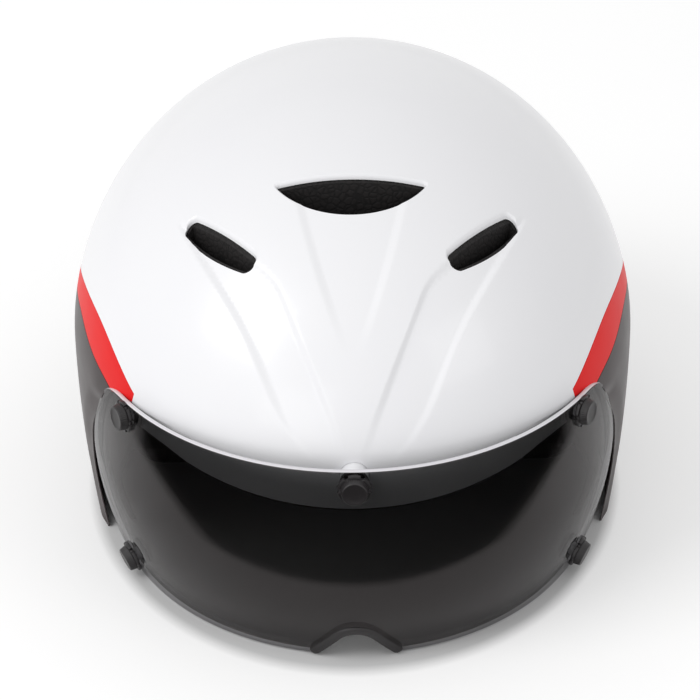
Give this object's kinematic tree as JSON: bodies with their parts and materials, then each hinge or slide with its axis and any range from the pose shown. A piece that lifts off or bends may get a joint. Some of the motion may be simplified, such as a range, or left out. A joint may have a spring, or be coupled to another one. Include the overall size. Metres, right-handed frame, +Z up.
{
  "type": "aero time trial helmet",
  "caption": "Smooth white aero cycling helmet with dark ear covers, a red side stripe and a wide smoke visor held by magnets.",
  "frame": {"origin": "middle of the overall box, on the level surface that the ear covers' rims rest on", "axes": "+Z up, the wearer's face towards -Y, the wearer's left towards +X"},
  "size_m": [0.206, 0.2828, 0.1635],
  "materials": {
    "shell_white": "white lacquered polycarbonate, satin gloss",
    "stripe_red": "bright red lacquered polycarbonate",
    "shell_dark": "charcoal polycarbonate, satin gloss",
    "foam_black": "moulded black bead foam",
    "lens_smoke": "smoke-tinted polished polycarbonate",
    "trim_rubber": "moulded soft rubber",
    "seat_black": "moulded black nylon",
    "magnet_nickel": "nickel-plated magnet",
    "pad_fabric": "brushed knit over soft foam",
    "hook_tape": "black hook tape",
    "webbing_black": "woven polyester webbing",
    "buckle_black": "moulded acetal",
    "cradle_nylon": "moulded nylon",
    "pinion_acetal": "natural acetal",
    "knob_black": "moulded nylon with a fine grain",
    "spring_steel": "bright spring steel",
    "screw_steel": "stainless steel"
  },
  "bodies": {
    "helmet": {"upper_shell": "shell_white", "stripe_left": "stripe_red", "stripe_right": "stripe_red", "lower_shell": "shell_dark", "foam_liner": "foam_black", "brow_pad": "pad_fabric", "crown_pad": "pad_fabric", "side_pad_left": "pad_fabric", "side_pad_right": "pad_fabric", "pad_dots": "hook_tape", "magnet_seats": "seat_black", "shell_magnets": "magnet_nickel", "strap_anchors": "buckle_black", "front_strap_left": "webbing_black", "front_strap_right": "webbing_black", "rear_strap_left": "webbing_black", "rear_strap_right": "webbing_black", "strap_divider_left": "buckle_black", "strap_divider_right": "buckle_black", "chin_strap_left": "webbing_black", "chin_strap_right": "webbing_black", "buckle_socket": "buckle_black", "strap_keeper": "trim_rubber", "height_guide": "cradle_nylon"},
    "visor": {"visor_lens": "lens_smoke", "nose_trim": "trim_rubber", "button_bases": "seat_black", "button_caps": "seat_black", "magnet_cups": "seat_black", "visor_magnets": "magnet_nickel"},
    "cradle": {"dial_housing": "cradle_nylon", "dial_cover": "cradle_nylon", "click_spring": "spring_steel", "housing_screws": "screw_steel", "cradle_yoke": "cradle_nylon", "cradle_pad": "pad_fabric"},
    "dial": {"dial_pinion": "pinion_acetal", "dial_knob": "knob_black", "dial_screw": "screw_steel"},
    "band_left": {"rack_left": "cradle_nylon"},
    "band_right": {"rack_right": "cradle_nylon"},
    "buckle_half": {"buckle_plug": "buckle_black"}
  },
  "joints": [
    {"name": "visor_pull", "type": "slide", "parent": "helmet", "child": "visor", "axis": [0, -1, 0], "range_m": [0, 0.045]},
    {"name": "cradle_height", "type": "slide", "parent": "helmet", "child": "cradle", "axis": [0, 0, 1], "range_m": [-0.006, 0.006]},
    {"name": "dial_turn", "type": "hinge", "parent": "cradle", "child": "dial", "pos_m": [0, 0.0964, 0.027], "axis": [0, 1, 0], "range_deg": [-200, 0]},
    {"name": "band_left_draw", "type": "slide", "parent": "cradle", "child": "band_left", "axis": [1, 0, 0], "range_m": [-0.014, 0]},
    {"name": "band_right_draw", "type": "slide", "parent": "cradle", "child": "band_right", "axis": [-1, 0, 0], "range_m": [-0.014, 0]},
    {"name": "buckle_release", "type": "slide", "parent": "helmet", "child": "buckle_half", "axis": [-1, 0, 0], "range_m": [0, 0.022], "deforming": ["chin_strap_right"]}
  ],
  "couplings": [
    {"joint": "band_left_draw", "follows": "dial_turn", "m_per_rad": 0.004},
    {"joint": "band_right_draw", "follows": "dial_turn", "m_per_rad": 0.004}
  ]
}
